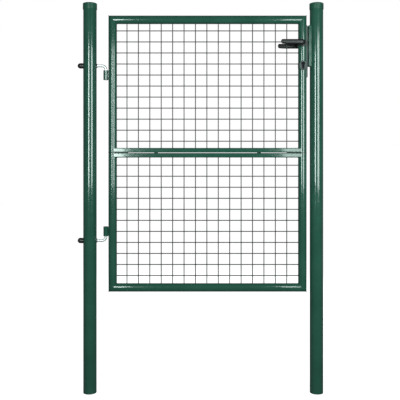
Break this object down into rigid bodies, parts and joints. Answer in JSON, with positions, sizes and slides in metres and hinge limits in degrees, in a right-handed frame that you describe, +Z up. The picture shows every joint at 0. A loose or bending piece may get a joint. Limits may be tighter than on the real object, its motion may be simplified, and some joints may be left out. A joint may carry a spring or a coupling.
{
  "type": "garden gate",
  "caption": "Single garden gate leaf of welded wire mesh in a round tube frame, hung on hook bolts between two capped round posts, with lever handles and a stile lock.",
  "frame": {"origin": "centre of the hinge post's foot", "axes": "+X from the hinge post to the latch post, +Z up the posts, +Y away from the side the leaf opens to"},
  "size_m": [1.1135, 0.138, 1.762],
  "materials": {
    "green_paint": "gloss moss green powder coat",
    "green_wire": "satin grey-green coated wire",
    "zinc": "bright zinc plated steel",
    "lock_steel": "satin dark grey steel",
    "black_plastic": "fine-grained black plastic",
    "nickel_brass": "black nickel plated brass",
    "green_plastic": "satin moss green moulded plastic"
  },
  "bodies": {
    "posts": {"hinge_post": "green_paint", "latch_post": "green_paint", "hinge_post_cap": "green_plastic", "latch_post_cap": "green_plastic", "upper_hinge_bolt": "zinc", "lower_hinge_bolt": "zinc", "hinge_nuts": "zinc", "hinge_saddle_washers": "black_plastic", "hinge_bolt_caps": "black_plastic", "keep": "green_paint", "keep_stop": "green_paint"},
    "leaf": {"top_rail": "green_paint", "hinge_stile_upper": "green_paint", "latch_stile_upper": "green_paint", "bottom_rail": "green_paint", "hinge_stile_lower": "green_paint", "latch_stile_lower": "green_paint", "upper_mid_bar": "green_paint", "lower_mid_bar": "green_paint", "hinge_stile_coupler": "black_plastic", "latch_stile_coupler": "black_plastic", "mid_bar_bolts": "green_paint", "mid_bar_nuts": "zinc", "mid_bar_spacers": "black_plastic", "upper_mesh_uprights": "green_wire", "upper_mesh_crosswires": "green_wire", "lower_mesh_uprights": "green_wire", "lower_mesh_crosswires": "green_wire", "upper_hinge_barrel": "green_paint", "lower_hinge_barrel": "green_paint", "lock_case": "zinc", "lock_cover": "zinc", "lock_cover_screws": "zinc", "forend": "lock_steel", "forend_screws": "zinc", "front_rose": "black_plastic", "rear_rose": "black_plastic", "front_escutcheon": "lock_steel", "rear_escutcheon": "lock_steel", "cylinder_body": "nickel_brass", "cylinder_screw": "zinc", "latch_spring": "zinc"},
    "handle": {"lock_follower": "lock_steel", "spindle": "zinc", "front_lever": "black_plastic", "rear_lever": "black_plastic", "lever_grub_screws": "zinc"},
    "latch": {"latch_bolt": "lock_steel"},
    "bolt": {"deadbolt": "lock_steel"},
    "key_plugs": {"front_plug": "nickel_brass", "rear_plug": "nickel_brass", "cylinder_cam": "lock_steel"}
  },
  "joints": [
    {"name": "leaf_swing", "type": "hinge", "parent": "posts", "child": "leaf", "pos_m": [0.072, 0, 1.083], "axis": [0, 0, -1], "range_deg": [0, 115]},
    {"name": "handle_turn", "type": "hinge", "parent": "leaf", "child": "handle", "pos_m": [0.962, 0, 1.578], "axis": [0, -1, 0], "range_deg": [0, 38], "stiffness_Nm_per_rad": 0.6, "springref_deg": -68.75},
    {"name": "latch_slide", "type": "slide", "parent": "leaf", "child": "latch", "axis": [1, 0, 0], "range_m": [-0.0041, 0], "deforming": ["latch_spring"]},
    {"name": "key_turn", "type": "hinge", "parent": "leaf", "child": "key_plugs", "pos_m": [0.962, 0, 1.486], "axis": [0, 1, 0], "range_deg": [0, 360]},
    {"name": "deadbolt_slide", "type": "slide", "parent": "leaf", "child": "bolt", "axis": [1, 0, 0], "range_m": [0, 0.02]}
  ],
  "couplings": [
    {"joint": "latch_slide", "follows": "handle_turn", "m_per_rad": -0.00603},
    {"joint": "key_turn", "follows": "deadbolt_slide", "rad_per_m": 314.1}
  ]
}
